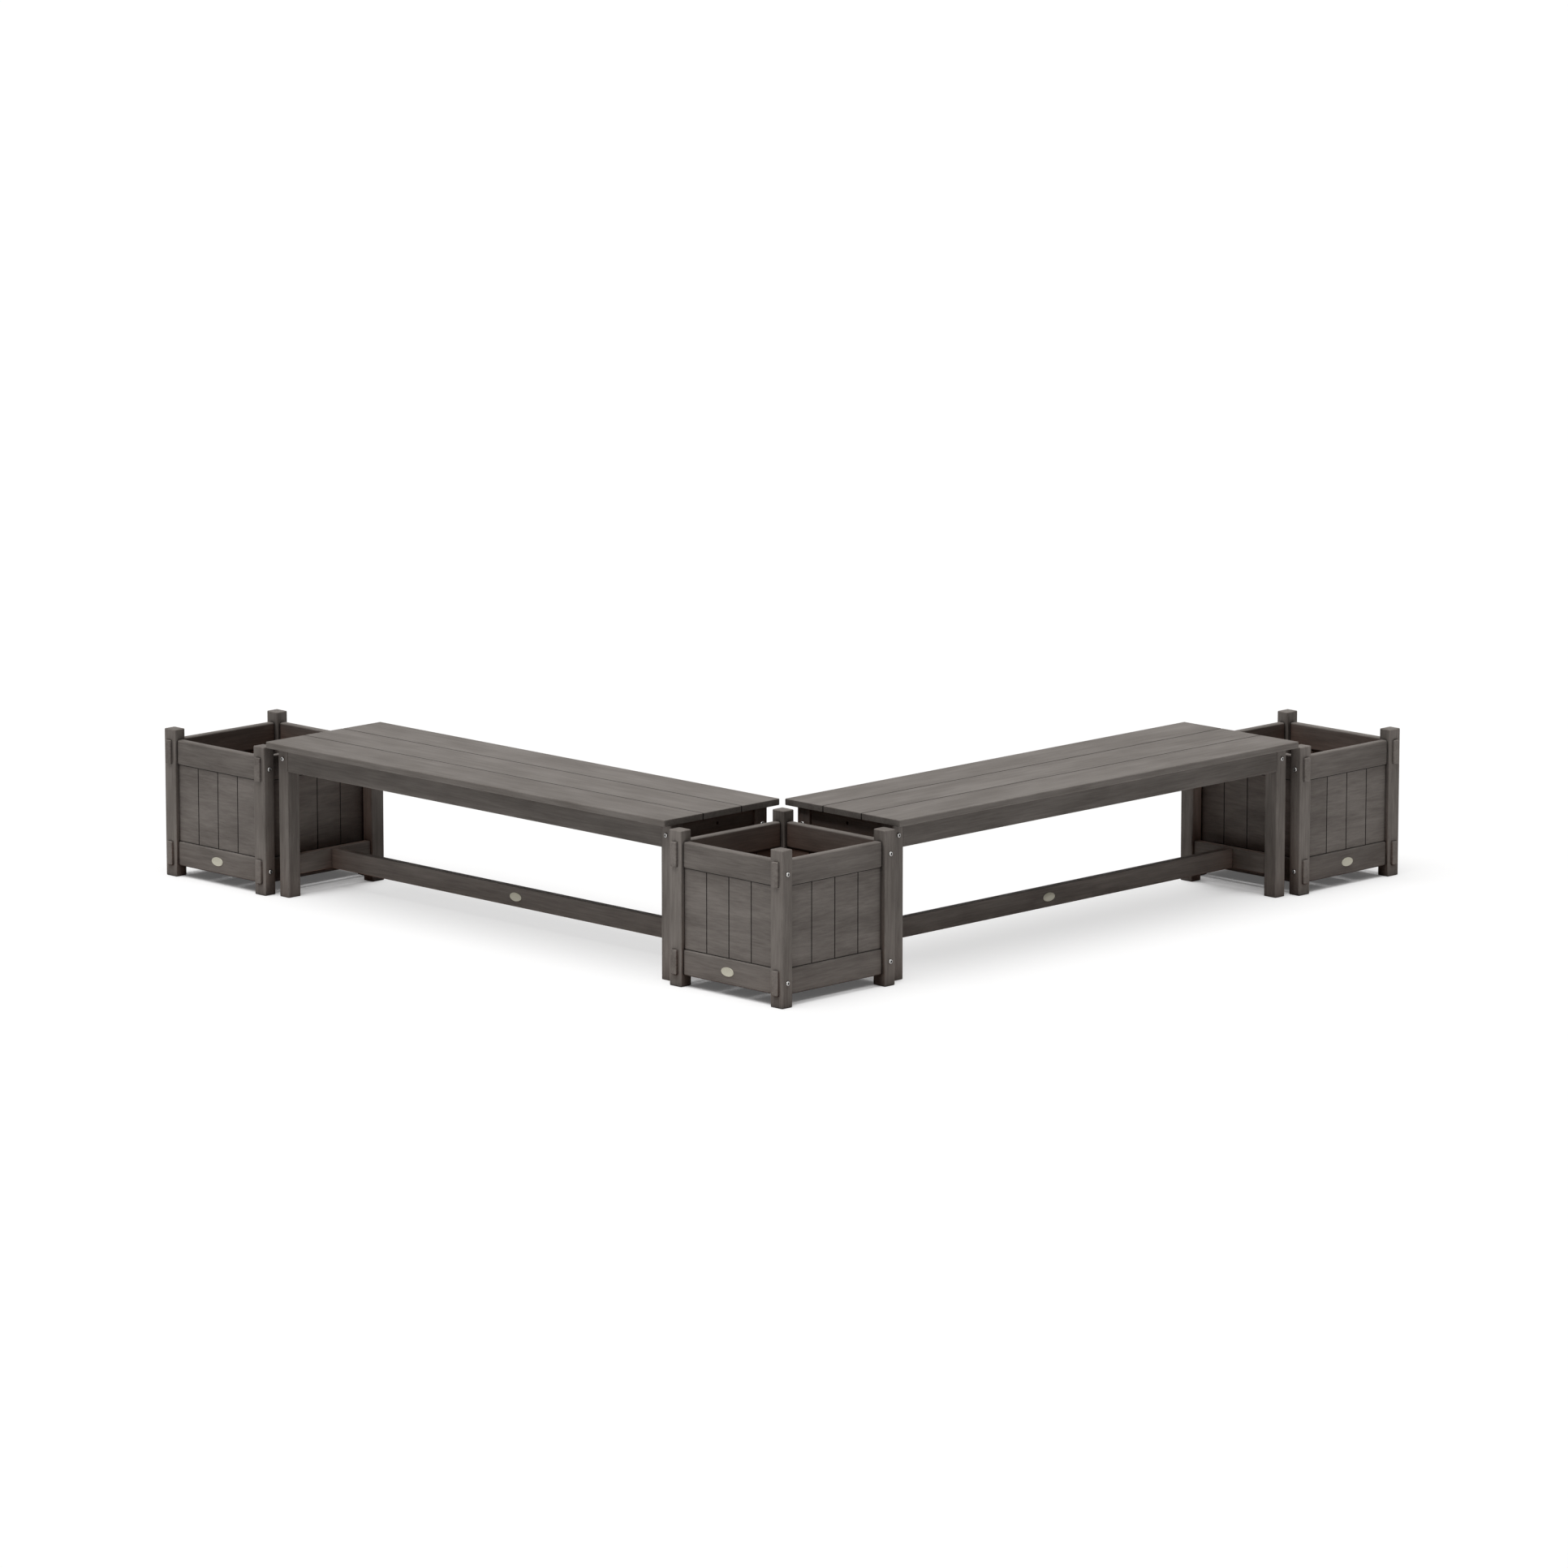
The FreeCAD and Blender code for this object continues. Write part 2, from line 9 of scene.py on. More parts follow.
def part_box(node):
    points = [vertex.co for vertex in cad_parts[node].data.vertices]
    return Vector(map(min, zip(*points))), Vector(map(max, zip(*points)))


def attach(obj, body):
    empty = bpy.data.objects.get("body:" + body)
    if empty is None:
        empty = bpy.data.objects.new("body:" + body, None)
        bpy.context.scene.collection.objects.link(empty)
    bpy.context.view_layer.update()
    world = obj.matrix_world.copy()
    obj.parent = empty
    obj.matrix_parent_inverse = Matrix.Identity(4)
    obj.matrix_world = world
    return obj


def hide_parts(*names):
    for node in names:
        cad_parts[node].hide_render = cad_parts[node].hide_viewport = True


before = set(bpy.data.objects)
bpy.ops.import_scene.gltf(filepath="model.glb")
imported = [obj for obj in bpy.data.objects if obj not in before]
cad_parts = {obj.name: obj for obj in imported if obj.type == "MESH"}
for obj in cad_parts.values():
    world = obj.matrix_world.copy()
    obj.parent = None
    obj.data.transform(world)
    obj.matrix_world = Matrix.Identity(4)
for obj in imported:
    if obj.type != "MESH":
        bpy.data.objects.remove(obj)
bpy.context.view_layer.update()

# Planter posts
# Four uprights with rounded edges carry each planter box. They are cut from solid
# wood-grained plastic lumber, and two through mortises in each take the rails' tenons.

PLANTERS = ("corner_planter", "right_planter", "left_planter")
PLANTER_SIDE = 0.414
POST_DEEP = 0.038
POST_WIDE = 0.044
POST_EDGE = 0.0041
POST_END_EDGE = 0.0026
TENON_THICK = 0.020
TENON_HEIGHT = 0.066
TENON_STEP = 0.001
MORTISE_PLAY = 0.0004
CUTTER_MARGIN = 0.002
RAIL_THICK = 0.022
RAIL_HEIGHT = 0.068
RAIL_LEVELS = {"top": 0.315, "bottom": 0.031}
LUMBER_COLOUR = (0.207, 0.188, 0.173)
LUMBER_DARK = (0.119, 0.106, 0.096)
SHADE_WARMTH = (1.04, 0.65, 0.51)
STREAK_SCALE = 230.0
FIGURE_SCALE = 72.0
CLOUD_SCALE = 15.0
PORE_SCALE = 760.0
SCRATCH_SCALE = 95.0
WORN_WIDTH = 0.0045
JOINT_WIDTH = 0.0016
JOINT_CORE = 0.0003
CORNER_REACH = 0.014
GAP_REACH = 0.095
SHELTER_REACH = 0.35
OPENNESS_SAMPLES = 6
GRAIN_DEPTH = 0.0005
LUMBER_SHARP_ANGLE = 40
ON_FACE = 0.0003


def value_in(tree, socket, value):
    """Link a socket's input, or set it where the value is a plain number."""
    if isinstance(value, bpy.types.NodeSocket):
        tree.links.new(value, socket)
    else:
        socket.default_value = value


def sum_of(tree, operation, *values):
    """A Math node worked on its values."""
    node = tree.nodes.new("ShaderNodeMath")
    node.operation = operation
    for socket, value in zip(node.inputs, values):
        value_in(tree, socket, value)
    return node.outputs[0]


def vector_of(tree, operation, *values):
    """A Vector Math node worked on its values."""
    node = tree.nodes.new("ShaderNodeVectorMath")
    node.operation = operation
    for socket, value in zip(node.inputs, values):
        value_in(tree, socket, value)
    return node.outputs[0]


def span_of(tree, value, low, high, start=0.0, end=1.0, smooth=True):
    """A value mapped from one span to another, and held at the ends."""
    node = tree.nodes.new("ShaderNodeMapRange")
    node.interpolation_type = "SMOOTHSTEP" if smooth else "LINEAR"
    for name, number in (("Value", value), ("From Min", low), ("From Max", high),
                         ("To Min", start), ("To Max", end)):
        value_in(tree, node.inputs[name], number)
    return node.outputs["Result"]


def noise_of(tree, place, scale, detail, roughness, distortion=0.0):
    """Layered noise at a place, between 0 and 1 with its middle at 0.5."""
    node = tree.nodes.new("ShaderNodeTexNoise")
    for name, number in (("Vector", place), ("Scale", scale), ("Detail", detail),
                         ("Roughness", roughness), ("Distortion", distortion)):
        value_in(tree, node.inputs[name], number)
    return node.outputs["Fac"]


def scaled_by(tree, colour, share):
    """A colour made lighter or darker by a share."""
    node = tree.nodes.new("ShaderNodeVectorMath")
    node.operation = "SCALE"
    tree.links.new(colour, node.inputs[0])
    tree.links.new(share, node.inputs["Scale"])
    return node.outputs[0]


def blend_of(tree, share, first, second):
    """A colour between a first one, at a share of 0, and a second one, at 1."""
    node = tree.nodes.new("ShaderNodeMix")
    node.data_type = "RGBA"
    node.clamp_factor = True
    node.inputs["A"].default_value = (*first, 1.0)
    node.inputs["B"].default_value = (*second, 1.0)
    tree.links.new(share, node.inputs["Factor"])
    return node.outputs["Result"]


def openness_of(tree, reach, samples):
    """How open a point is within a reach: 1 in the open, near 0 in a closed corner."""
    node = tree.nodes.new("ShaderNodeAmbientOcclusion")
    node.samples = samples
    node.inputs["Distance"].default_value = reach
    return node.outputs["AO"]


def relief_of(tree, height, strength, depth):
    """A surface's direction, roughened by a height."""
    node = tree.nodes.new("ShaderNodeBump")
    node.inputs["Strength"].default_value = strength
    node.inputs["Distance"].default_value = depth
    tree.links.new(height, node.inputs["Height"])
    return node.outputs["Normal"]


def new_material(name):
    """A new material, with its tree and its shader."""
    material = bpy.data.materials.new(name)
    material.use_nodes = True
    return material, material.node_tree, material.node_tree.nodes["Principled BSDF"]


def new_effect(name, inputs, outputs):
    """A node group with named sockets: its tree, its input node and its output node."""
    tree = bpy.data.node_groups.new(name, "ShaderNodeTree")
    for socket, kind in inputs:
        tree.interface.new_socket(socket, in_out="INPUT", socket_type="NodeSocket" + kind)
    for socket, kind in outputs:
        tree.interface.new_socket(socket, in_out="OUTPUT", socket_type="NodeSocket" + kind)
    return tree, tree.nodes.new("NodeGroupInput").outputs, tree.nodes.new("NodeGroupOutput").inputs


def embossed_grain():
    """Wood grain pressed into plastic lumber: fine streaks, a bolder figure, clouds and pores."""
    tree, given, out = new_effect(
        "embossed_grain",
        (("Place", "Vector"), ("Shift", "Vector"), ("Run", "Float")),
        (("Streaks", "Float"), ("Figure", "Float"), ("Clouds", "Float"), ("Pores", "Float"),
         ("Height", "Float")),
    )
    place = vector_of(tree, "ADD", given["Place"], given["Shift"])
    stretch = tree.nodes.new("ShaderNodeCombineXYZ")
    tree.links.new(given["Run"], stretch.inputs["X"])
    stretch.inputs["Y"].default_value = 1.0
    stretch.inputs["Z"].default_value = 1.0
    drawn = vector_of(tree, "MULTIPLY", place, stretch.outputs[0])
    streaks = noise_of(tree, drawn, STREAK_SCALE, 5.0, 0.62, 0.25)
    figure = noise_of(tree, drawn, FIGURE_SCALE, 3.0, 0.55, 0.5)
    broad = vector_of(tree, "MULTIPLY", place, (0.35, 1.0, 1.0))
    clouds = noise_of(tree, broad, CLOUD_SCALE, 2.0, 0.5)
    short = vector_of(tree, "MULTIPLY", drawn, (1.6, 1.0, 1.0))
    pores = span_of(tree, noise_of(tree, short, PORE_SCALE, 2.0, 0.5), 0.60, 0.72)
    relief = sum_of(tree, "MULTIPLY_ADD", figure, 0.6, sum_of(tree, "MULTIPLY", streaks, 0.7))
    height = sum_of(tree, "SUBTRACT", relief, sum_of(tree, "MULTIPLY", pores, 0.45))
    for name, value in (("Streaks", streaks), ("Figure", figure), ("Clouds", clouds),
                        ("Pores", pores), ("Height", height)):
        tree.links.new(value, out[name])
    return tree


def board_edges():
    """How near a point is to a board's edges, and whether it lies on a sawn end or a tenon."""
    tree, given, out = new_effect(
        "board_edges",
        (("Place", "Vector"), ("Size", "Vector"), ("Width", "Float")),
        (("Edge", "Float"), ("End", "Float"), ("Tenon", "Float")),
    )
    other_way = vector_of(tree, "SUBTRACT", given["Size"], given["Place"])
    inward = tree.nodes.new("ShaderNodeSeparateXYZ")
    tree.links.new(vector_of(tree, "MINIMUM", given["Place"], other_way), inward.inputs[0])
    x, y, z = inward.outputs
    lesser = sum_of(tree, "MINIMUM", x, y)
    greater = sum_of(tree, "MAXIMUM", x, y)
    second = sum_of(tree, "MAXIMUM", lesser, sum_of(tree, "MINIMUM", greater, z))
    tree.links.new(span_of(tree, second, 0.0, given["Width"], 1.0, 0.0), out["Edge"])
    tenon = span_of(tree, x, -0.004, -0.001, 1.0, 0.0)
    end = span_of(tree, x, 0.0004, 0.0016, 1.0, 0.0)
    tree.links.new(tenon, out["Tenon"])
    tree.links.new(sum_of(tree, "MAXIMUM", sum_of(tree, "SUBTRACT", end, tenon), 0.0), out["End"])
    return tree


def joint_shade():
    """Painted shade in the narrow joints beside a board's ends and along its two long sides."""
    tree, given, out = new_effect(
        "joint_shade",
        (("Place", "Vector"), ("Size", "Vector"), ("Meets", "Vector"), ("Tuck", "Float"),
         ("Width", "Float")),
        (("Shade", "Float"),),
    )
    parts = {}
    for word, vector in (("near", given["Place"]),
                         ("far", vector_of(tree, "SUBTRACT", given["Size"], given["Place"])),
                         ("meets", given["Meets"])):
        parts[word] = tree.nodes.new("ShaderNodeSeparateXYZ")
        tree.links.new(vector, parts[word].inputs[0])
    meets = parts["meets"].outputs
    end = sum_of(tree, "MINIMUM", parts["near"].outputs[0], parts["far"].outputs[0])
    shade = span_of(tree, end, JOINT_CORE, given["Width"], 1.0, 0.0)
    joint_shading = sum_of(tree, "MULTIPLY", meets[0], shade)
    for number, word in ((1, "near"), (2, "far")):
        away = sum_of(tree, "SUBTRACT", parts[word].outputs[1], given["Tuck"])
        shade = span_of(tree, away, JOINT_CORE, given["Width"], 1.0, 0.0)
        joint_shading = sum_of(tree, "MAXIMUM", joint_shading, sum_of(tree, "MULTIPLY", meets[number], shade))
    tree.links.new(joint_shading, out["Shade"])
    return tree


GRAIN = embossed_grain()
EDGES = board_edges()
JOINTS = joint_shade()


def placed(tree, effect, **values):
    """An effect's node in a material, with its inputs set or linked."""
    node = tree.nodes.new("ShaderNodeGroup")
    node.node_tree = effect
    for name, value in values.items():
        value_in(tree, node.inputs[name], value)
    return node.outputs


def lumber(name, colour, dark, grain_run, figure_strength, tuck=0.0, joint_width=JOINT_WIDTH,
           gap_shade_share=0.88):
    """Matte plastic lumber: pressed grain, paler worn edges, painted shade in its corners, its
    narrow gaps and its joints, and a painted warm shade where it is sheltered or faces a planter's
    hollow."""
    material, tree, shader = new_material(name)
    told = {}
    for word in ("place", "size", "shift", "meets", "tone", "inward"):
        node = tree.nodes.new("ShaderNodeAttribute")
        node.attribute_name = word
        told[word] = node.outputs["Fac" if word in ("tone", "inward") else "Vector"]
    grain = placed(tree, GRAIN, Place=told["place"], Shift=told["shift"], Run=grain_run)
    edges = placed(tree, EDGES, Place=told["place"], Size=told["size"], Width=WORN_WIDTH)
    # Painted shade along the joints where a board meets its neighbours.
    joints = placed(tree, JOINTS, Place=told["place"], Size=told["size"], Meets=told["meets"],
                    Tuck=tuck, Width=joint_width)

    depth = 0.5
    for value, share in ((grain["Streaks"], 1.5), (grain["Figure"], figure_strength),
                         (grain["Clouds"], 1.6), (told["tone"], 0.30)):
        depth = sum_of(tree, "MULTIPLY_ADD", sum_of(tree, "SUBTRACT", value, 0.5), share, depth)
    body = blend_of(tree, depth, dark, colour)
    scratches = noise_of(tree, told["place"], SCRATCH_SCALE, 3.0, 0.6)
    scratched = span_of(tree, scratches, 0.35, 0.65, 0.25, 1.0)
    wear = sum_of(tree, "MULTIPLY", edges["Edge"], scratched)
    # The tenon share is painted light: it makes the tenons lighter than their rail, for the light
    # they catch standing proud of the posts.
    change = 1.0
    for value, share in ((wear, 0.15), (edges["Tenon"], 0.17), (grain["Pores"], -0.12),
                         (edges["End"], -0.10)):
        change = sum_of(tree, "MULTIPLY_ADD", value, share, change)

    # Painted shade: the colour is darkened along the joints, in corners closed in within 14 mm,
    # and in narrow gaps within 95 mm. The last argument of lumber sets how much in the narrow
    # gaps.
    corner = openness_of(tree, CORNER_REACH, OPENNESS_SAMPLES)
    narrow = openness_of(tree, GAP_REACH, OPENNESS_SAMPLES)
    unshaded_share = sum_of(tree, "MULTIPLY_ADD", joints["Shade"], -0.80, 1.0)
    for cover in (span_of(tree, corner, 0.25, 0.90, 0.42, 0.0),
                  span_of(tree, narrow, 0.30, 0.64, gap_shade_share, 0.0)):
        unshaded_share = sum_of(tree, "MULTIPLY", unshaded_share, sum_of(tree, "SUBTRACT", 1.0, cover))
    # Painted warm shade: sheltered places, and the faces towards a planter's hollow, are tinted
    # towards SHADE_WARMTH, as deep shade looks warmer.
    shelter = openness_of(tree, SHELTER_REACH, OPENNESS_SAMPLES)
    enclosed = span_of(tree, shelter, 0.35, 0.90, 1.0, 0.0)
    warm = sum_of(tree, "MAXIMUM", span_of(tree, shelter, 0.12, 0.48, 1.0, 0.0),
                  sum_of(tree, "MULTIPLY", enclosed, told["inward"]))
    warmth = blend_of(tree, warm, (1.0, 1.0, 1.0), SHADE_WARMTH)
    tinted = vector_of(tree, "MULTIPLY", body, warmth)
    tree.links.new(scaled_by(tree, tinted, sum_of(tree, "MULTIPLY", change, unshaded_share)),
                   shader.inputs["Base Color"])

    gloss = sum_of(tree, "MULTIPLY_ADD", grain["Streaks"], 0.20, 0.56)
    tree.links.new(sum_of(tree, "SUBTRACT", gloss, sum_of(tree, "MULTIPLY", wear, 0.07)),
                   shader.inputs["Roughness"])
    shader.inputs["Specular IOR Level"].default_value = 0.12
    tree.links.new(relief_of(tree, grain["Height"], 0.45, GRAIN_DEPTH), shader.inputs["Normal"])
    return material


def block(shape, low, high):
    """Add a plain block between two corners to a shape, and give its corners."""
    corners = bmesh.ops.create_cube(shape, size=1.0)["verts"]
    reach = high - low
    for vertex in corners:
        vertex.co = (low + high) / 2 + Vector(part * side for part, side in zip(vertex.co, reach))
    return corners


def planed(shape, low, high, along, long_edge, end_edge):
    """Add a board between two corners to a shape, its long edges and its ends rounded over."""
    sides = {edge for vertex in block(shape, low, high) for edge in vertex.link_edges}
    lengthwise = [
        edge for edge in sides
        if abs((edge.verts[0].co - edge.verts[1].co)[along]) > 1e-6
    ]
    made = bmesh.ops.bevel(shape, geom=lengthwise, offset=long_edge, offset_type="OFFSET",
                           segments=4, profile=0.5, affect="EDGES")
    corners = {vertex for face in made["faces"] for vertex in face.verts}
    ends = [
        edge for edge in {edge for vertex in corners for edge in vertex.link_edges}
        if abs((edge.verts[0].co - edge.verts[1].co)[along]) < 1e-6
    ]
    bmesh.ops.bevel(shape, geom=ends, offset=end_edge, offset_type="OFFSET",
                    segments=3, profile=0.5, affect="EDGES")


def mesh_from(shape, name):
    """The mesh of a finished shape."""
    mesh = bpy.data.meshes.new(name)
    shape.to_mesh(mesh)
    shape.free()
    return mesh


def in_scene(name, data):
    """A new object in the scene with a mesh, a light or a camera."""
    item = bpy.data.objects.new(name, data)
    bpy.context.scene.collection.objects.link(item)
    return item


def hollowed(mesh, cutters):
    """The mesh with the shapes of the cutters taken out of it."""
    work = in_scene("work", mesh)
    tools = []
    for cutter in cutters:
        tool = in_scene("tool", cutter)
        tool.hide_render = True
        step = work.modifiers.new("cut", "BOOLEAN")
        step.object = tool
        step.solver = "EXACT"
        tools.append(tool)
    bpy.context.view_layer.update()
    cut = work.evaluated_get(bpy.context.evaluated_depsgraph_get())
    result = bpy.data.meshes.new_from_object(cut)
    for used in [work] + tools:
        bpy.data.objects.remove(used)
    return result


def box_cutter(low, high):
    """A cutter between two corners."""
    shape = bmesh.new()
    block(shape, low, high)
    return mesh_from(shape, "cutter")


def inward_face(point, low, high, hollow):
    """1 for a point of a board on a face towards a planter's hollow, else 0: such faces get
    painted warm shade.
    """
    for axis in (0, 1):
        if hollow[axis] > high[axis] and abs(point[axis] - high[axis]) < ON_FACE:
            return 1.0
        if hollow[axis] < low[axis] and abs(point[axis] - low[axis]) < ON_FACE:
            return 1.0
    return 0.0


def timber(name, node, low, high, along, long_edge, end_edge, material,
           cutters=(), tenons=(), grain=None, shift=None, run_on=0.0, meets=(0.0, 0.0, 0.0),
           hollow=None):
    """One board of the set, cut, laid with its grain and put on the frame."""
    shape = bmesh.new()
    planed(shape, low, high, along, long_edge, end_edge)
    mesh = mesh_from(shape, name)
    if cutters:
        mesh = hollowed(mesh, cutters)
        mesh.name = name
    if tenons:
        shape = bmesh.new()
        shape.from_mesh(mesh)
        for near, far in tenons:
            planed(shape, near, far, along, TENON_EDGE, TENON_END_EDGE)
        shape.to_mesh(mesh)
        shape.free()
    grain = along if grain is None else grain
    rest = (axis for axis in range(3) if axis != grain)
    order = (grain, *sorted(rest, key=lambda axis: low[axis] - high[axis]))
    chance = random.Random(name)
    shift = chance.uniform(0.0, 9.0) if shift is None else shift
    tone = chance.random()
    vectors = {"place": [], "size": [], "shift": [], "meets": []}
    numbers = {"tone": [], "inward": []}
    for vertex in mesh.vertices:
        vectors["place"] += [vertex.co[axis] - low[axis] for axis in order]
        vectors["size"] += [high[axis] - low[axis] for axis in order]
        vectors["shift"] += [shift + run_on, shift, shift]
        vectors["meets"] += meets
        numbers["tone"].append(tone)
        numbers["inward"].append(inward_face(vertex.co, low, high, hollow) if hollow else 0.0)
    for word, told in vectors.items():
        mesh.attributes.new(word, "FLOAT_VECTOR", "POINT").data.foreach_set("vector", told)
    for word, told in numbers.items():
        mesh.attributes.new(word, "FLOAT", "POINT").data.foreach_set("value", told)
    mesh.shade_smooth()
    mesh.set_sharp_from_angle(angle=math.radians(LUMBER_SHARP_ANGLE))
    mesh.materials.clear()
    mesh.materials.append(material)
    board = in_scene(name, mesh)
    even = board.modifiers.new("even_normals", "WEIGHTED_NORMAL")
    even.keep_sharp = True
    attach(board, "root")
    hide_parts(node)
    return board


def planter_place(planter):
    """A planter's own frame: its tenons run along its x, and the right one is turned."""
    if planter == "right_planter":
        low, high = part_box("right_planter_right_post")
        return Matrix.Translation((high.x, low.y, 0.0)) @ Matrix.Rotation(math.pi / 2, 4, "Z")
    return Matrix.Translation(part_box(planter + "_front_post")[0])


def planter_middle(place):
    """The middle of a planter's hollow, in the set's frame."""
    return place @ Vector((PLANTER_SIDE / 2, PLANTER_SIDE / 2, 0.0))


def set_out(place, near, far):
    """The lowest and highest corner, in the set's frame, of a box in a unit's own frame."""
    one, two = place @ Vector(near), place @ Vector(far)
    return Vector(map(min, one, two)), Vector(map(max, one, two))


def turned_axis(place, axis):
    """The set's axis that a unit's own axis lies along."""
    direction = place.to_3x3().col[axis]
    return max(range(3), key=lambda number: abs(direction[number]))


# The posts' lumber is a lighter copy of the slats' colour: painted light, as the proud posts catch
# more light.
POST_LIT_LUMBER = lumber("post_lumber", (0.224, 0.204, 0.187), (0.129, 0.115, 0.104), 0.06, 0.9)

for planter in PLANTERS:
    place = planter_place(planter)
    labels = ("front", "right", "left", "back")
    if planter == "right_planter":
        labels = ("right", "back", "front", "left")
    for number, label in enumerate(labels):
        node = "%s_%s_post" % (planter, label)
        high_x, high_y = number % 2, number // 2
        x = (PLANTER_SIDE - POST_DEEP) * high_x
        y = (PLANTER_SIDE - POST_WIDE) * high_y
        low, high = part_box(node)
        cutters = []
        for level in RAIL_LEVELS.values():
            slot_low = y + (POST_WIDE - TENON_THICK) / 2 - MORTISE_PLAY
            slot_foot = level + TENON_STEP - MORTISE_PLAY
            cutters.append(box_cutter(*set_out(
                place,
                (x - CUTTER_MARGIN, slot_low, slot_foot),
                (x + POST_DEEP + CUTTER_MARGIN, slot_low + TENON_THICK + 2 * MORTISE_PLAY,
                 slot_foot + TENON_HEIGHT + 2 * MORTISE_PLAY),
            )))
        timber(node, node, low, high, 2, POST_EDGE, POST_END_EDGE, POST_LIT_LUMBER, cutters)

# Tenoned rails
# Two pairs of rails in each planter, with rounded edges, run between the posts. Their
# shouldered tenons go through the posts and stand proud of them, with softened ends.

RAIL_EDGE = 0.0048
RAIL_END_EDGE = 0.0042
TENON_PROUD = 0.0075
TENON_EDGE = 0.0030
TENON_END_EDGE = 0.9 * TENON_EDGE
TENON_ROOT = 0.0005
CLEAR_X = PLANTER_SIDE - 2 * POST_DEEP
GROOVE_DEEP = 0.008
GROOVE_WIDE = 0.0136
GROOVE_MARGIN = 0.001
# The rails' lumber is a darker copy of the slats' colour: painted shade.
RAIL_SHADED_LUMBER = lumber("rail_lumber", (0.188, 0.171, 0.157), (0.108, 0.096, 0.087), 0.07, 1.0)


def groove_cutter(place, level, foot, near, far):
    """The groove for the slats, in the rail edge that faces the other rail."""
    z = foot - CUTTER_MARGIN if level == "top" else foot + RAIL_HEIGHT - GROOVE_DEEP
    return box_cutter(*set_out(place, (*near, z), (*far, z + GROOVE_DEEP + CUTTER_MARGIN)))


for planter in PLANTERS:
    place = planter_place(planter)
    along = turned_axis(place, 0)
    for level, foot in RAIL_LEVELS.items():
        for side in ("low", "high"):
            y = (POST_WIDE - RAIL_THICK) / 2
            if side == "high":
                y = PLANTER_SIDE - y - RAIL_THICK
            low, high = set_out(place, (POST_DEEP, y, foot),
                                (POST_DEEP + CLEAR_X, y + RAIL_THICK, foot + RAIL_HEIGHT))
            middle = y + RAIL_THICK / 2
            groove = groove_cutter(
                place, level, foot,
                (POST_DEEP - GROOVE_MARGIN, middle - GROOVE_WIDE / 2),
                (POST_DEEP + CLEAR_X + GROOVE_MARGIN, middle + GROOVE_WIDE / 2),
            )
            tenons = []
            for start, end in ((-TENON_PROUD, POST_DEEP + TENON_ROOT),
                               (POST_DEEP + CLEAR_X - TENON_ROOT, PLANTER_SIDE + TENON_PROUD)):
                tenons.append(set_out(
                    place,
                    (start, middle - TENON_THICK / 2, foot + TENON_STEP),
                    (end, middle + TENON_THICK / 2, foot + TENON_STEP + TENON_HEIGHT),
                ))
            timber("%s_%s_tenoned_rail_%s" % (planter, level, side), planter + "_tenoned_rails",
                   low, high, along, RAIL_EDGE, RAIL_END_EDGE, RAIL_SHADED_LUMBER, [groove], tenons,
                   hollow=planter_middle(place))

# Butted rails
# The other two pairs of rails butt between the posts, and two screws hold each one
# through them. The bottom pair is ploughed a second time for the planter's floor.

CLEAR_Y = PLANTER_SIDE - 2 * POST_WIDE
FLOOR_LIFT = 0.014
FLOOR_THICK = 0.012
FLOOR_PLAY = 0.0005

for planter in PLANTERS:
    place = planter_place(planter)
    along = turned_axis(place, 1)
    for level, foot in RAIL_LEVELS.items():
        for side in ("low", "high"):
            x = (POST_DEEP - RAIL_THICK) / 2
            if side == "high":
                x = PLANTER_SIDE - x - RAIL_THICK
            low, high = set_out(place, (x, POST_WIDE, foot),
                                (x + RAIL_THICK, POST_WIDE + CLEAR_Y, foot + RAIL_HEIGHT))
            middle = x + RAIL_THICK / 2
            start, end = POST_WIDE - GROOVE_MARGIN, POST_WIDE + CLEAR_Y + GROOVE_MARGIN
            cutters = [groove_cutter(place, level, foot, (middle - GROOVE_WIDE / 2, start),
                                     (middle + GROOVE_WIDE / 2, end))]
            if level == "bottom":
                inner = x + RAIL_THICK - GROOVE_DEEP if side == "low" else x - GROOVE_MARGIN
                cutters.append(box_cutter(*set_out(
                    place,
                    (inner, start, foot + FLOOR_LIFT - FLOOR_PLAY),
                    (inner + GROOVE_DEEP + GROOVE_MARGIN, end,
                     foot + FLOOR_LIFT + FLOOR_THICK + FLOOR_PLAY),
                )))
            timber("%s_%s_butted_rail_%s" % (planter, level, side), planter + "_butted_rails",
                   low, high, along, RAIL_EDGE, RAIL_END_EDGE, RAIL_SHADED_LUMBER, cutters,
                   hollow=planter_middle(place))

# Slats
# Four thin boards fill each side of a planter, standing side by side in the rails'
# grooves. Their pressed grain runs level, from one board on to the next.

SLATS_PER_SIDE = 4
SLAT_THICK = 0.012
SLAT_GAP = 0.0012
SLAT_EDGE = 0.0012
SLAT_END_EDGE = 0.9 * SLAT_EDGE
TONGUE = 0.0075
# Widths of the painted shade along the slats' sides and just under the rails, where the slats go
# into the grooves.
SLAT_SEAM = 0.0022
SLAT_SEAM_IN = TONGUE + 0.001
SLAT_FOOT = RAIL_LEVELS["bottom"] + RAIL_HEIGHT - TONGUE
SLAT_TOP = RAIL_LEVELS["top"] + TONGUE
SLAT_LUMBER = lumber("slat_lumber", LUMBER_COLOUR, LUMBER_DARK, 0.11, 0.8, tuck=SLAT_SEAM_IN,
                     joint_width=SLAT_SEAM)

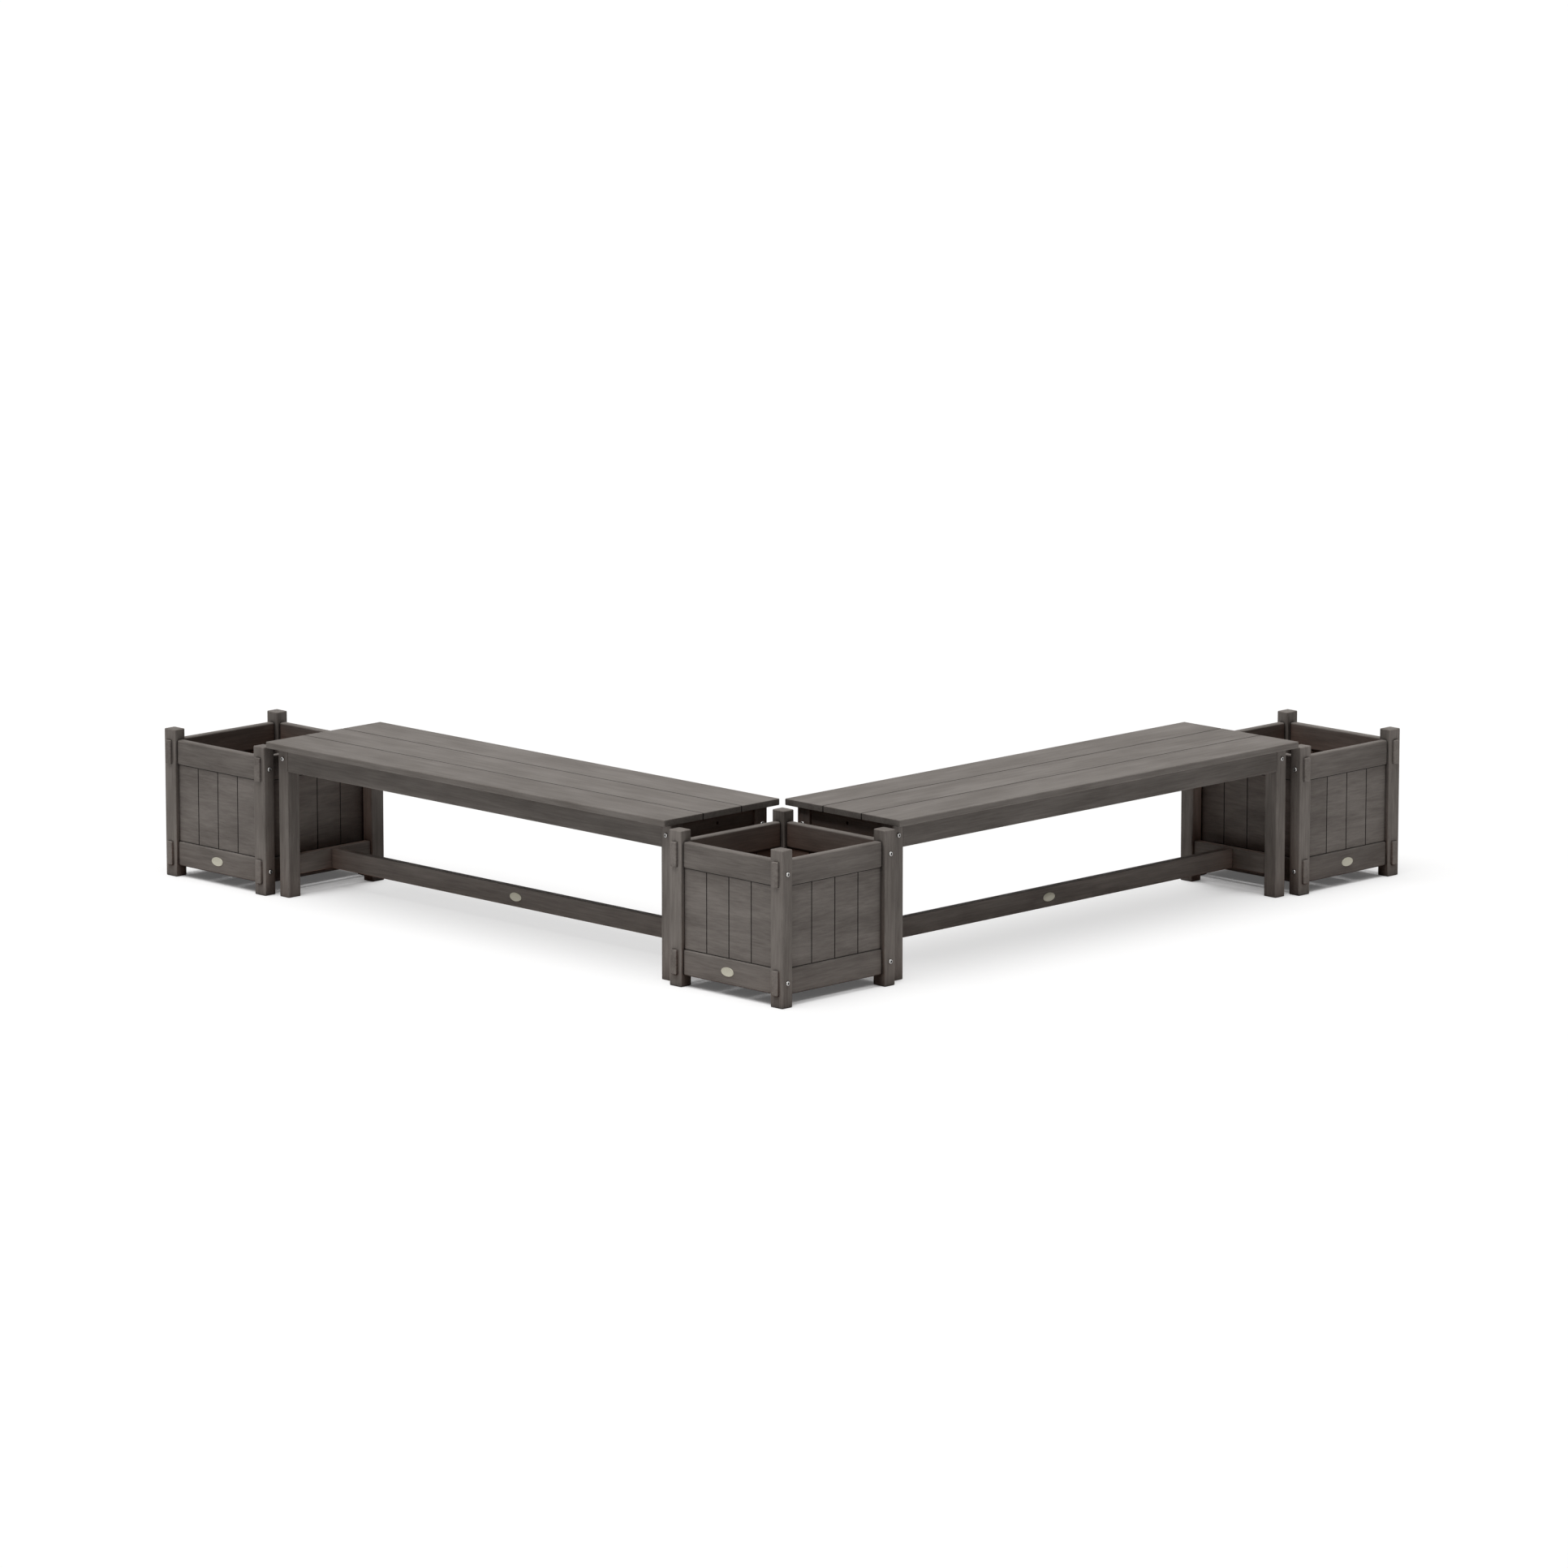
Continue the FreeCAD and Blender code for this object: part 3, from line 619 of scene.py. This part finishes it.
for planter in PLANTERS:
    place = planter_place(planter)
    for axis in (0, 1):
        post, span = ((POST_DEEP, CLEAR_X), (POST_WIDE, CLEAR_Y))[axis]
        inset = ((POST_WIDE, POST_DEEP)[axis] - SLAT_THICK) / 2
        pitch = span / SLATS_PER_SIDE
        for side in ("low", "high"):
            face = inset if side == "low" else PLANTER_SIDE - inset - SLAT_THICK
            shift = random.Random("%s %d %s" % (planter, axis, side)).uniform(0.0, 9.0)
            for number in range(SLATS_PER_SIDE):
                start = post + pitch * number + SLAT_GAP / 2
                near = [start, face, SLAT_FOOT]
                far = [start + pitch - SLAT_GAP, face + SLAT_THICK, SLAT_TOP]
                if axis:
                    near[:2], far[:2] = near[1::-1], far[1::-1]
                low, high = set_out(place, near, far)
                grain = turned_axis(place, axis)
                timber("%s_%s_%s_slat_%d" % (planter, side, "xy"[axis], number + 1),
                       planter + "_slats", low, high, 2, SLAT_EDGE, SLAT_END_EDGE, SLAT_LUMBER,
                       grain=grain, shift=shift, run_on=low[grain], meets=(1.0, 1.0, 1.0),
                       hollow=planter_middle(place))

# Planter floor
# Three boards with drainage gaps between them close the bottom of each box. Their
# ends are let into the grooves of the bottom butted rails.

FLOOR_BOARDS = 3
FLOOR_GAP = 0.006
FLOOR_SIDE_PLAY = 0.001
FLOOR_EDGE = 0.0015
FLOOR_END_EDGE = 0.9 * FLOOR_EDGE
FLOOR_LUMBER = lumber("floor_lumber", LUMBER_COLOUR, LUMBER_DARK, 0.06, 1.0)

for planter in PLANTERS:
    place = planter_place(planter)
    start = (POST_DEEP - RAIL_THICK) / 2 + RAIL_THICK - TONGUE
    pitch = (CLEAR_Y - 2 * FLOOR_SIDE_PLAY + FLOOR_GAP) / FLOOR_BOARDS
    foot = RAIL_LEVELS["bottom"] + FLOOR_LIFT
    for number in range(FLOOR_BOARDS):
        y = POST_WIDE + FLOOR_SIDE_PLAY + pitch * number
        low, high = set_out(place, (start, y, foot),
                            (PLANTER_SIDE - start, y + pitch - FLOOR_GAP, foot + FLOOR_THICK))
        timber("%s_floor_board_%d" % (planter, number + 1), planter + "_floor_boards",
               low, high, turned_axis(place, 0), FLOOR_EDGE, FLOOR_END_EDGE, FLOOR_LUMBER)

# Seat boards
# Three full-length boards make each seat. They are planed lumber with eased edges,
# laid side by side with a narrow gap and screwed from below.

BENCHES = ("right_bench", "left_bench")
SEAT_EDGE = 0.0030
SEAT_END_EDGE = 0.7 * SEAT_EDGE
# Width of the painted shade along the seat boards' sides where they meet.
SEAT_SEAM = 0.0030
SEAT_LUMBER = lumber("seat_lumber", (0.203, 0.187, 0.173), (0.128, 0.115, 0.104), 0.045, 1.0,
                     joint_width=SEAT_SEAM)
SEAT_MEETS = {"front": (0.0, 0.0, 1.0), "middle": (0.0, 1.0, 1.0), "back": (0.0, 1.0, 0.0)}


def bench_axis(bench):
    """The axis that a bench lies along."""
    return 0 if bench == "right_bench" else 1


for bench in BENCHES:
    for label, meets in SEAT_MEETS.items():
        node = "%s_seat_board_%s" % (bench, label)
        low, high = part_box(node)
        timber(node, node, low, high, bench_axis(bench), SEAT_EDGE, SEAT_END_EDGE, SEAT_LUMBER,
               meets=meets)

# Bench legs
# Four uprights under each seat, of the same stock as the planter posts, with rounded
# edges. Screws through two of their faces hold the aprons.

LEGS = ("inner_front", "inner_back", "outer_front", "outer_back")
LEG_EDGE = 0.0041
LEG_END_EDGE = 0.0020
# The legs' lumber is a lighter copy of the slats' colour: painted light.
LEG_LIT_LUMBER = lumber("leg_lumber", (0.222, 0.202, 0.186), (0.128, 0.114, 0.103), 0.06, 1.1,
                    gap_shade_share=0.45)

for bench in BENCHES:
    for label in LEGS:
        node = "%s_%s_leg" % (bench, label)
        low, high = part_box(node)
        timber(node, node, low, high, 2, LEG_EDGE, LEG_END_EDGE, LEG_LIT_LUMBER)

# Aprons
# Long rails under the seat's long edges and short ones across its ends butt between the
# legs. They are planed with lightly eased edges, and a sunk hole in the middle of each
# end one takes the centre rail's screw.

APRON_EDGE = 0.0022
APRON_END_EDGE = 0.5 * APRON_EDGE
END_APRON_THICK = 0.022
SINK_WIDE = 0.0095
SINK_DEEP = 0.0090
SINK_DROP = 0.021
SINK_SIDES = 48
# The aprons' lumber is a darker copy of the slats' colour: painted shade under the seat's
# overhang.
APRON_SHADED_LUMBER = lumber("apron_lumber", (0.178, 0.162, 0.149), (0.102, 0.091, 0.082), 0.05, 1.0,
                      gap_shade_share=0.0)


def round_cutter(middle, axis, radius, depth):
    """A short round cutter whose middle is at a point, lying along one axis."""
    turn = Matrix.Rotation(math.pi / 2, 4, "Y" if axis == 0 else "X")
    shape = bmesh.new()
    bmesh.ops.create_cone(shape, cap_ends=True, segments=SINK_SIDES, radius1=radius,
                          radius2=radius, depth=depth, matrix=Matrix.Translation(middle) @ turn)
    return mesh_from(shape, "cutter")


for bench in BENCHES:
    along = bench_axis(bench)
    across = 1 - along
    for label in ("front", "back"):
        node = "%s_%s_apron" % (bench, label)
        low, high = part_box(node)
        timber(node, node, low, high, along, APRON_EDGE, APRON_END_EDGE, APRON_SHADED_LUMBER)
    for label in ("inner", "outer"):
        leg_low, leg_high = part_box("%s_%s_front_leg" % (bench, label))
        low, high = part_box(bench + "_end_aprons")
        middle = (leg_low[along] + leg_high[along]) / 2
        low[along], high[along] = middle - END_APRON_THICK / 2, middle + END_APRON_THICK / 2
        face = (low + high) / 2
        face.z = high.z - SINK_DROP
        face[along] = low[along] if label == "inner" else high[along]
        sink = round_cutter(face, along, SINK_WIDE / 2, 2 * SINK_DEEP)
        timber("%s_%s_end_apron" % (bench, label), bench + "_end_aprons", low, high, across,
               APRON_EDGE, APRON_END_EDGE, APRON_SHADED_LUMBER, [sink])

# Stretchers
# A low rail ties each pair of end legs, and a long one joins the two across the middle
# of the bench. Stub tenons hold them, and only their shoulders show.

STUB = 0.015
LONG_STUB = 0.012
STRETCHER_EDGE = 0.0030
STRETCHER_END_EDGE = 0.5 * STRETCHER_EDGE
# The stretchers' lumber is a lighter copy of the slats' colour: painted light.
STRETCHER_LIT_LUMBER = lumber("stretcher_lumber", (0.220, 0.200, 0.184), (0.127, 0.113, 0.102),
                          0.05, 1.0, gap_shade_share=0.2)

for bench in BENCHES:
    for label, stub in (("inner_end", STUB), ("outer_end", STUB), ("long", LONG_STUB)):
        node = "%s_%s_stretcher" % (bench, label)
        low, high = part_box(node)
        along = bench_axis(bench) if label == "long" else 1 - bench_axis(bench)
        low[along] += stub
        high[along] -= stub
        timber(node, node, low, high, along, STRETCHER_EDGE, STRETCHER_END_EDGE,
               STRETCHER_LIT_LUMBER)

# Seat supports
# A rail under the middle board runs between the end aprons and is notched for three
# battens, which carry the seat boards from one long apron to the other.

BATTENS = 3
BATTEN_WIDE = 0.042
BATTEN_EDGE = 0.0015
BATTEN_END_EDGE = 0.7 * BATTEN_EDGE
NOTCH_PLAY = 0.0003
SUPPORT_LUMBER = lumber("support_lumber", LUMBER_COLOUR, LUMBER_DARK, 0.05, 1.0)

for bench in BENCHES:
    along = bench_axis(bench)
    rail_low, rail_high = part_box(bench + "_centre_rail")
    reach_low, reach_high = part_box(bench + "_seat_battens")
    length = rail_high[along] - rail_low[along]
    cutters = []
    for number in range(BATTENS):
        start = rail_low[along] + length * (number + 1) / (BATTENS + 1) - BATTEN_WIDE / 2
        low, high = reach_low.copy(), reach_high.copy()
        low[along], high[along] = start, start + BATTEN_WIDE
        timber("%s_batten_%d" % (bench, number + 1), bench + "_seat_battens", low, high, 1 - along,
               BATTEN_EDGE, BATTEN_END_EDGE, SUPPORT_LUMBER)
        notch_low, notch_high = low.copy(), high.copy()
        notch_low[along] -= NOTCH_PLAY
        notch_high[along] += NOTCH_PLAY
        notch_high.z += CUTTER_MARGIN
        cutters.append(box_cutter(notch_low, notch_high))
    timber(bench + "_centre_rail", bench + "_centre_rail", rail_low, rail_high, along,
           BATTEN_EDGE, BATTEN_END_EDGE, SUPPORT_LUMBER, cutters)

# Frame screws
# Polished stainless button heads with a hex socket hold the butted rails and the
# aprons. They go in through the posts and legs and stand proud of them.

HEAD_WIDE = 0.0125
HEAD_TALL = 0.0035
HEAD_SKIRT = 0.0008
HEAD_EASE = 0.0003
HEAD_SIDES = 48
HEAD_SHARP_ANGLE = 38
DOME_STEPS = 6
SOCKET_WIDE = 0.0062
SOCKET_DEEP = 0.0026
SOCKET_REACH = 0.003
SOCKET_SAMPLES = 8
FACE_SCREW_Z = 0.384
END_SCREW_Z = 0.371
END_SCREW_IN = 0.0205


def skinned(shape, loops):
    """Close a stack of loops of corners with faces between them and at both ends."""
    for inner, outer in zip(loops, loops[1:]):
        for number in range(len(inner)):
            after = (number + 1) % len(inner)
            shape.faces.new((inner[number], inner[after], outer[after], outer[number]))
    shape.faces.new(loops[-1])
    shape.faces.new(loops[0][::-1])


def socket_head(shape, foot, outward):
    """Add one domed head, standing on a point, with its hex socket facing outward."""
    radius = HEAD_WIDE / 2
    rim = SOCKET_WIDE / 2 * 1.12
    rings = [(radius * 0.97, 0.0, False), (radius, HEAD_EASE, False), (radius, HEAD_SKIRT, False)]
    for step in range(1, DOME_STEPS + 1):
        angle = math.radians(90 / DOME_STEPS * step)
        wide = rim + (radius - rim) * math.cos(angle) ** 0.8 if step < DOME_STEPS else rim * 1.18
        rings.append((wide, HEAD_SKIRT + (HEAD_TALL - HEAD_SKIRT) * math.sin(angle), False))
    rings.append((rim, HEAD_TALL - 0.0001, True))
    rings.append((rim * 0.96, HEAD_TALL - 0.0004, True))
    rings.append((rim * 0.94, HEAD_TALL - SOCKET_DEEP, True))
    turn = Vector((0, 0, 1)).rotation_difference(outward).to_matrix()
    loops = []
    for wide, up, hexagon in rings:
        loop = []
        for number in range(HEAD_SIDES):
            angle = 2 * math.pi * number / HEAD_SIDES
            reach = wide
            if hexagon:
                reach = wide / math.cos((angle % (math.pi / 3)) - math.pi / 6) * 0.92
            spot = Vector((reach * math.cos(angle), reach * math.sin(angle), up))
            loop.append(shape.verts.new(foot + turn @ spot))
        loops.append(loop)
    skinned(shape, loops)


def polished_steel():
    """Smudged stainless steel, with painted shade down in the sockets and round the heads' feet.
    """
    material, tree, shader = new_material("polished_steel")
    shader.inputs["Metallic"].default_value = 1.0
    spot = tree.nodes.new("ShaderNodeTexCoord").outputs["Object"]
    smudge = noise_of(tree, spot, 420.0, 3.0, 0.6)
    tint = blend_of(tree, smudge, (0.42, 0.416, 0.41), (0.56, 0.555, 0.545))
    # Painted shade: the colour darkens where the head is closed in, in its socket and at its foot.
    corner = openness_of(tree, SOCKET_REACH, SOCKET_SAMPLES)
    tree.links.new(scaled_by(tree, tint, span_of(tree, corner, 0.45, 0.95, 0.06, 1.0)),
                   shader.inputs["Base Color"])
    tree.links.new(span_of(tree, smudge, 0.3, 0.7, 0.14, 0.26), shader.inputs["Roughness"])
    scuffs = noise_of(tree, spot, 2600.0, 2.0, 0.5)
    tree.links.new(relief_of(tree, scuffs, 0.12, 0.0001), shader.inputs["Normal"])
    return material


def screw_set(unit, heads):
    """The screws of one unit, as one piece."""
    name = unit + "_screws"
    shape = bmesh.new()
    for foot, outward in heads:
        socket_head(shape, foot, outward)
    mesh = mesh_from(shape, name)
    mesh.shade_smooth()
    mesh.set_sharp_from_angle(angle=math.radians(HEAD_SHARP_ANGLE))
    mesh.materials.append(STEEL)
    piece = in_scene(name, mesh)
    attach(piece, "root")
    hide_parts(unit + "_screw_heads")
    return piece


def outward_face(low, high, axis, middle):
    """Where a leg's outward face across an axis lies, and the way it faces, -1 or 1."""
    below = low[axis] < middle[axis]
    return (low[axis], -1) if below else (high[axis], 1)


STEEL = polished_steel()

for planter in PLANTERS:
    place = planter_place(planter)
    heads = []
    for x in (POST_DEEP / 2, PLANTER_SIDE - POST_DEEP / 2):
        for high_y in (0, 1):
            outward = place.to_3x3() @ Vector((0, 2 * high_y - 1, 0))
            for level in RAIL_LEVELS.values():
                foot = Vector((x, PLANTER_SIDE * high_y, level + RAIL_HEIGHT / 2))
                heads.append((place @ foot, outward))
    screw_set(planter, heads)

for bench in BENCHES:
    along = bench_axis(bench)
    across = 1 - along
    low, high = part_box(bench + "_long_stretcher")
    middle = (low + high) / 2
    heads = []
    for label in LEGS:
        low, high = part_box("%s_%s_leg" % (bench, label))
        side, side_way = outward_face(low, high, across, middle)
        end, end_way = outward_face(low, high, along, middle)
        face_foot, face_out = Vector((0, 0, FACE_SCREW_Z)), Vector((0, 0, 0))
        face_foot[along], face_foot[across] = (low[along] + high[along]) / 2, side
        face_out[across] = side_way
        heads.append((face_foot, face_out))
        end_foot, end_out = Vector((0, 0, END_SCREW_Z)), Vector((0, 0, 0))
        end_foot[along], end_foot[across] = end, side - side_way * END_SCREW_IN
        end_out[along] = end_way
        heads.append((end_foot, end_out))
    screw_set(bench, heads)

# Oval plates
# A small plain oval of satin metal is pinned to one bottom rail of each planter and
# to each bench's long stretcher. Its rim is raised a little and its field is bare.

PLATE_WIDE = 0.045
PLATE_TALL = 0.024
PLATE_THICK = 0.0016
PLATE_RIM = 0.0020
PLATE_SIDES = 72
PLATE_SHARP_ANGLE = 50


def satin_metal():
    """Pale metal with a dull shine, mottled by handling."""
    material, tree, shader = new_material("satin_metal")
    shader.inputs["Metallic"].default_value = 0.35
    spot = tree.nodes.new("ShaderNodeTexCoord").outputs["Object"]
    mottle = noise_of(tree, spot, 190.0, 4.0, 0.6)
    tree.links.new(blend_of(tree, mottle, (0.455, 0.437, 0.352), (0.565, 0.547, 0.452)),
                   shader.inputs["Base Color"])
    tree.links.new(span_of(tree, mottle, 0.3, 0.7, 0.38, 0.52), shader.inputs["Roughness"])
    scuffs = noise_of(tree, spot, 2200.0, 2.0, 0.5)
    tree.links.new(relief_of(tree, scuffs, 0.15, 0.0001), shader.inputs["Normal"])
    return material


def oval_plate(name, middle, outward):
    """A bare oval plate whose back lies on a face at a point."""
    turn = Matrix.Identity(3)
    turn.col[0] = Vector((0, 0, 1)).cross(outward)
    turn.col[1] = Vector((0, 0, 1))
    turn.col[2] = outward
    rings = (
        (0.0, 0.0), (0.0, PLATE_THICK * 0.7), (0.0004, PLATE_THICK * 0.95),
        (0.0009, PLATE_THICK), (PLATE_RIM - 0.0004, PLATE_THICK),
        (PLATE_RIM, PLATE_THICK * 0.75), (PLATE_RIM + 0.0005, PLATE_THICK * 0.62),
    )
    shape = bmesh.new()
    loops = []
    for inset, up in rings:
        loop = []
        for number in range(PLATE_SIDES):
            angle = 2 * math.pi * number / PLATE_SIDES
            spot = Vector(((PLATE_WIDE / 2 - inset) * math.cos(angle),
                           (PLATE_TALL / 2 - inset) * math.sin(angle), up))
            loop.append(shape.verts.new(middle + turn @ spot))
        loops.append(loop)
    skinned(shape, loops)
    mesh = mesh_from(shape, name)
    mesh.shade_smooth()
    mesh.set_sharp_from_angle(angle=math.radians(PLATE_SHARP_ANGLE))
    mesh.materials.append(PLATE_METAL)
    piece = in_scene(name, mesh)
    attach(piece, "root")
    return piece


PLATE_METAL = satin_metal()

for planter in PLANTERS:
    place = planter_place(planter)
    x = (POST_DEEP - RAIL_THICK) / 2
    outward = place.to_3x3() @ Vector((-1, 0, 0))
    middle = place @ Vector((x, PLANTER_SIDE / 2, RAIL_LEVELS["bottom"] + RAIL_HEIGHT / 2))
    oval_plate(planter + "_plate", middle, outward)
for bench in BENCHES:
    low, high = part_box(bench + "_long_stretcher")
    across = 1 - bench_axis(bench)
    middle = (low + high) / 2
    middle[across] = low[across]
    outward = Vector((0, 0, 0))
    outward[across] = -1
    oval_plate(bench + "_plate", middle, outward)

# Floor and light
# A plain white studio floor lies under one broad soft light overhead. It shows near white to the
# camera: a glow that only the camera sees lifts its shadows, painted light, and it lifts them less
# where pieces stand low over it, so the soft shadows deepen only there.

FLOOR_REACH = 40.0
FLOOR_WHITE = 0.95
FLOOR_SEEN = 0.07
SHADOW_LIFT = 0.68
COVERED_LIFT = 0.09
COVER_REACH = 0.30
COVER_DARK = 0.14
COVER_LIGHT = 0.66
COVER_SAMPLES = 12
SKY_STRENGTH = 0.06
SKY_FILL = (1.0, 0.80, 0.70)
SKY_SEEN = (1.0, 1.0, 1.0)
LIGHT_STRENGTH = 3.15
LIGHT_SPREAD = 50
LIGHT_WAY = Vector((0.22, -0.01, -1.0))

floor_corners = [(side * FLOOR_REACH, end * FLOOR_REACH, 0)
                 for side, end in ((-1, -1), (1, -1), (1, 1), (-1, 1))]
floor_mesh = bpy.data.meshes.new("studio_floor")
floor_mesh.from_pydata(floor_corners, [], [(0, 1, 2, 3)])
floor = in_scene("studio_floor", floor_mesh)
floor_paint, tree, shader = new_material("studio_white")
tree.nodes.remove(shader)
path = tree.nodes.new("ShaderNodeLightPath")
paint = tree.nodes.new("ShaderNodeBsdfDiffuse")
white = sum_of(tree, "MULTIPLY_ADD", path.outputs["Is Camera Ray"], FLOOR_SEEN, FLOOR_WHITE)
tree.links.new(white, paint.inputs["Color"])
# Painted light: a glow seen only by the camera lifts the floor's shadows, less where pieces stand
# low over it.
glow = tree.nodes.new("ShaderNodeEmission")
covered = span_of(tree, openness_of(tree, COVER_REACH, COVER_SAMPLES), COVER_DARK, COVER_LIGHT,
                  1.0, 0.0)
lift = span_of(tree, covered, 0.0, 1.0, SHADOW_LIFT, COVERED_LIFT, smooth=False)
blend = tree.nodes.new("ShaderNodeMixShader")
tree.links.new(sum_of(tree, "MULTIPLY", path.outputs["Is Camera Ray"], lift), blend.inputs[0])
tree.links.new(paint.outputs[0], blend.inputs[1])
tree.links.new(glow.outputs[0], blend.inputs[2])
tree.links.new(blend.outputs[0], tree.nodes["Material Output"].inputs["Surface"])
floor_mesh.materials.append(floor_paint)

world = bpy.data.worlds.new("studio")
bpy.context.scene.world = world
world.use_nodes = True
tree = world.node_tree
sky = tree.nodes["Background"]
path = tree.nodes.new("ShaderNodeLightPath")
seen = path.outputs["Is Camera Ray"]
for kind in ("Is Glossy Ray", "Is Transmission Ray"):
    seen = sum_of(tree, "MAXIMUM", seen, path.outputs[kind])
tree.links.new(span_of(tree, seen, 0.0, 1.0, SKY_STRENGTH, 1.0, smooth=False),
               sky.inputs["Strength"])
tree.links.new(blend_of(tree, seen, SKY_FILL, SKY_SEEN), sky.inputs["Color"])

light = bpy.data.lights.new("top_light", "SUN")
light.energy = LIGHT_STRENGTH
light.angle = math.radians(LIGHT_SPREAD)
in_scene("top_light", light).rotation_euler = LIGHT_WAY.to_track_quat("-Z", "Y").to_euler()

# Camera
# It stands on the diagonal outside the corner planter, a little above the seats, far
# back with a long lens.

CAMERA_PLACE = Vector((-15.3517, -15.3537, 4.4660))
CAMERA_AIM = Vector((0.69418, 0.69418, -0.19035))
LENS = 184.15
SENSOR_WIDE = 36.0
SIDE_SHIFT = 0.0011
SIGHT_END = 200.0

lens = bpy.data.cameras.new("camera")
lens.lens = LENS
lens.sensor_width = SENSOR_WIDE
lens.sensor_fit = "HORIZONTAL"
lens.clip_end = SIGHT_END
lens.shift_x = SIDE_SHIFT
camera = in_scene("camera", lens)
camera.location = CAMERA_PLACE
camera.rotation_euler = CAMERA_AIM.to_track_quat("-Z", "Y").to_euler()
bpy.context.scene.camera = camera
bpy.context.scene.view_settings.view_transform = "Standard"
